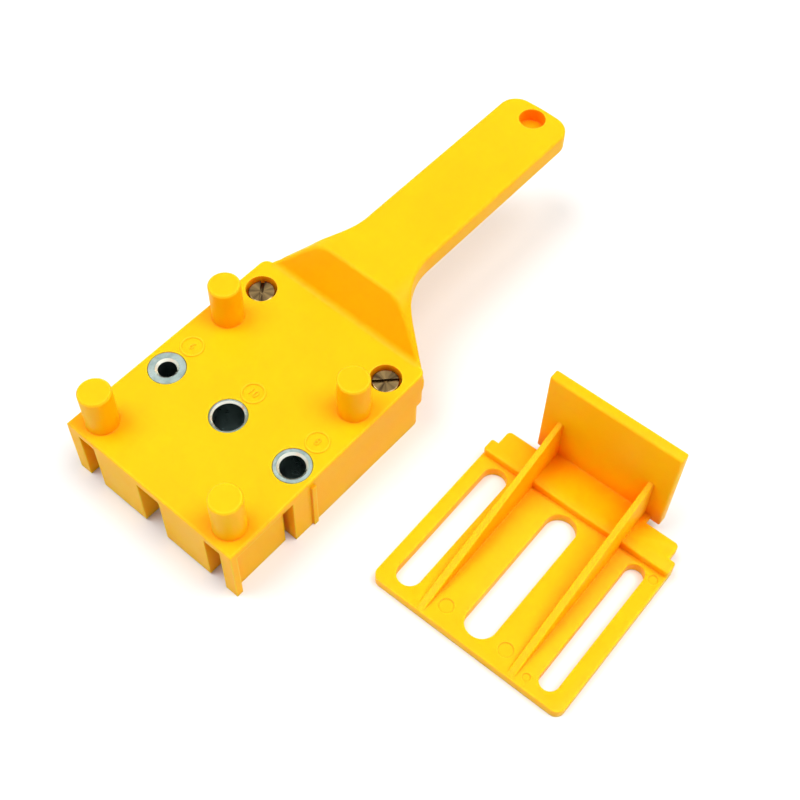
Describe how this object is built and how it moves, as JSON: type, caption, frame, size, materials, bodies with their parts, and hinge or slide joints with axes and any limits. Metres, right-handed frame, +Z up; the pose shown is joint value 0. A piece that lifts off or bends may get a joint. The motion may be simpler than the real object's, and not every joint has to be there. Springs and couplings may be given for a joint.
{
  "type": "drill guide",
  "caption": "Hand-held dowel drill guide: moulded block with handle, pegs and steel bushes, and its loose slotted stop plate.",
  "frame": {"origin": "on the axis of the middle bush, level with the block's feet, where the drill leaves the bush", "axes": "+X along the row of bushes from the small to the large one, +Y towards the handle's end, +Z up, out of the pegged face"},
  "size_m": [0.1669, 0.1913, 0.0423],
  "materials": {
    "yellow_plastic": "satin gloss",
    "bush_steel": "ground",
    "screw_metal": "bronze-tinted plating"
  },
  "bodies": {
    "guide": {"guide_body": "yellow_plastic", "bush_small": "bush_steel", "bush_middle": "bush_steel", "bush_large": "bush_steel", "stop_plate": "yellow_plastic"},
    "left_screw": {"clamp_screw_left": "screw_metal"},
    "right_screw": {"clamp_screw_right": "screw_metal"},
    "left_nut": {"clamp_nut_left": "screw_metal"},
    "right_nut": {"clamp_nut_right": "screw_metal"}
  },
  "joints": [
    {"name": "left_screw_turn", "type": "hinge", "parent": "guide", "child": "left_screw", "pos_m": [-0.027, 0.0424, 0.0236], "axis": [0, 0, 1], "range_deg": [0, 1800]},
    {"name": "left_nut_travel", "type": "slide", "parent": "guide", "child": "left_nut", "axis": [0, 0, -1], "range_m": [0, 0.004]},
    {"name": "right_screw_turn", "type": "hinge", "parent": "guide", "child": "right_screw", "pos_m": [0.027, 0.0424, 0.0236], "axis": [0, 0, 1], "range_deg": [0, 1800]},
    {"name": "right_nut_travel", "type": "slide", "parent": "guide", "child": "right_nut", "axis": [0, 0, -1], "range_m": [0, 0.004]}
  ],
  "couplings": [
    {"joint": "left_screw_turn", "follows": "left_nut_travel", "rad_per_m": 7854},
    {"joint": "right_screw_turn", "follows": "right_nut_travel", "rad_per_m": 7854}
  ]
}
